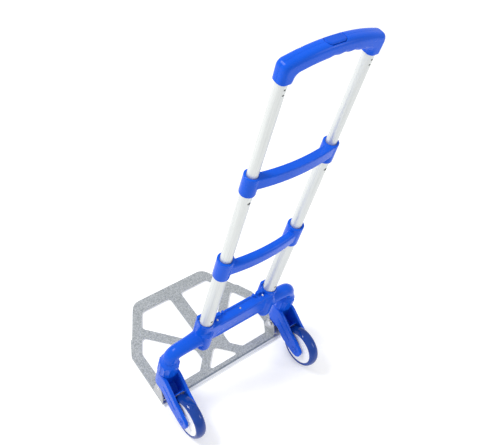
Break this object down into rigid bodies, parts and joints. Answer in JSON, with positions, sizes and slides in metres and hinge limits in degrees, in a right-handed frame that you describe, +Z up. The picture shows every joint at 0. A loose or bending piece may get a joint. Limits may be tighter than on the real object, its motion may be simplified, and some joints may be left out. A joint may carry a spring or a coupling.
{
  "type": "hand truck",
  "caption": "Folding hand truck with a windowed toe plate, swing-in wheels and a telescoping tubular handle with a release button.",
  "frame": {"origin": "on the floor, midway between the wheels and halfway between the front edge of the toe plate and the backs of the tyres", "axes": "+Z up along the tubes, +X to the user's left, -Y forward over the toe plate"},
  "size_m": [0.4036, 0.404, 0.9839],
  "materials": {
    "blue_plastic": "semi-gloss moulded royal blue",
    "button_plastic": "semi-gloss moulded blue, a little darker",
    "tyre_rubber": "glossy deep blue polyurethane",
    "rim_plastic": "semi-gloss white",
    "tube_aluminium": "satin anodised drawn tube",
    "plate_aluminium": "fine-textured grey",
    "bracket_steel": "satin",
    "pin_steel": "bright zinc",
    "bush_plastic": "satin white"
  },
  "bodies": {
    "base": {"base_frame": "blue_plastic", "base_screws": "pin_steel", "lower_tube_left": "tube_aluminium", "lower_tube_right": "tube_aluminium", "crossbar_lower": "blue_plastic", "swivel_collar_left": "blue_plastic", "swivel_collar_right": "blue_plastic", "swivel_post_left": "pin_steel", "swivel_post_right": "pin_steel", "hinge_block_left": "blue_plastic", "hinge_block_right": "blue_plastic", "hinge_pin_left": "pin_steel", "hinge_pin_right": "pin_steel"},
    "middle_stage": {"middle_tube_left": "tube_aluminium", "middle_tube_right": "tube_aluminium", "crossbar_upper": "blue_plastic", "middle_bush_left": "bush_plastic", "middle_bush_right": "bush_plastic", "stage_detents": "pin_steel"},
    "top_stage": {"upper_tube_left": "tube_aluminium", "upper_tube_right": "tube_aluminium", "upper_bush_left": "bush_plastic", "upper_bush_right": "bush_plastic", "lock_guide_left": "bush_plastic", "lock_guide_right": "bush_plastic", "handle_front": "blue_plastic", "handle_rear": "blue_plastic", "handle_screws": "pin_steel", "release_spring": "pin_steel"},
    "release": {"release_button": "button_plastic", "release_yoke": "tube_aluminium"},
    "lock_left": {"lock_pin_left": "pin_steel"},
    "lock_right": {"lock_pin_right": "pin_steel"},
    "plate": {"toe_plate": "plate_aluminium", "hinge_bracket_left": "bracket_steel", "hinge_bracket_right": "bracket_steel", "bracket_rivets": "pin_steel"},
    "fork_left": {"fork_left": "blue_plastic", "axle_left": "pin_steel"},
    "wheel_left": {"rim_left": "rim_plastic", "tyre_left": "tyre_rubber", "bearings_left": "pin_steel"},
    "fork_right": {"fork_right": "blue_plastic", "axle_right": "pin_steel"},
    "wheel_right": {"rim_right": "rim_plastic", "tyre_right": "tyre_rubber", "bearings_right": "pin_steel"}
  },
  "joints": [
    {"name": "middle_slide", "type": "slide", "parent": "base", "child": "middle_stage", "axis": [0, 0, -1], "range_m": [0, 0.19]},
    {"name": "top_slide", "type": "slide", "parent": "middle_stage", "child": "top_stage", "axis": [0, 0, -1], "range_m": [0, 0.19]},
    {"name": "release_press", "type": "slide", "parent": "top_stage", "child": "release", "axis": [0, 0, -1], "range_m": [0, 0.002], "stiffness_N_per_m": 800, "springref_m": -0.004, "deforming": ["release_spring"]},
    {"name": "lock_pin_left_slide", "type": "slide", "parent": "top_stage", "child": "lock_left", "axis": [0, -1, 0], "range_m": [0, 0.002]},
    {"name": "lock_pin_right_slide", "type": "slide", "parent": "top_stage", "child": "lock_right", "axis": [0, -1, 0], "range_m": [0, 0.002]},
    {"name": "plate_fold", "type": "hinge", "parent": "base", "child": "plate", "pos_m": [0, 0.046, 0.038], "axis": [-1, 0, 0], "range_deg": [0, 90]},
    {"name": "fork_swing_left", "type": "hinge", "parent": "base", "child": "fork_left", "pos_m": [0.177, 0.043, 0.1], "axis": [0, 0, 1], "range_deg": [0, 90]},
    {"name": "fork_swing_right", "type": "hinge", "parent": "base", "child": "fork_right", "pos_m": [-0.177, 0.043, 0.1], "axis": [0, 0, -1], "range_deg": [0, 90]},
    {"name": "wheel_spin_left", "type": "hinge", "parent": "fork_left", "child": "wheel_left", "pos_m": [0.177, 0.147, 0.055], "axis": [1, 0, 0], "continuous": true},
    {"name": "wheel_spin_right", "type": "hinge", "parent": "fork_right", "child": "wheel_right", "pos_m": [-0.177, 0.147, 0.055], "axis": [1, 0, 0], "continuous": true}
  ],
  "couplings": [
    {"joint": "lock_pin_left_slide", "follows": "release_press", "ratio": 1},
    {"joint": "lock_pin_right_slide", "follows": "release_press", "ratio": 1},
    {"joint": "fork_swing_left", "follows": "plate_fold", "ratio": 1},
    {"joint": "fork_swing_right", "follows": "plate_fold", "ratio": 1}
  ]
}
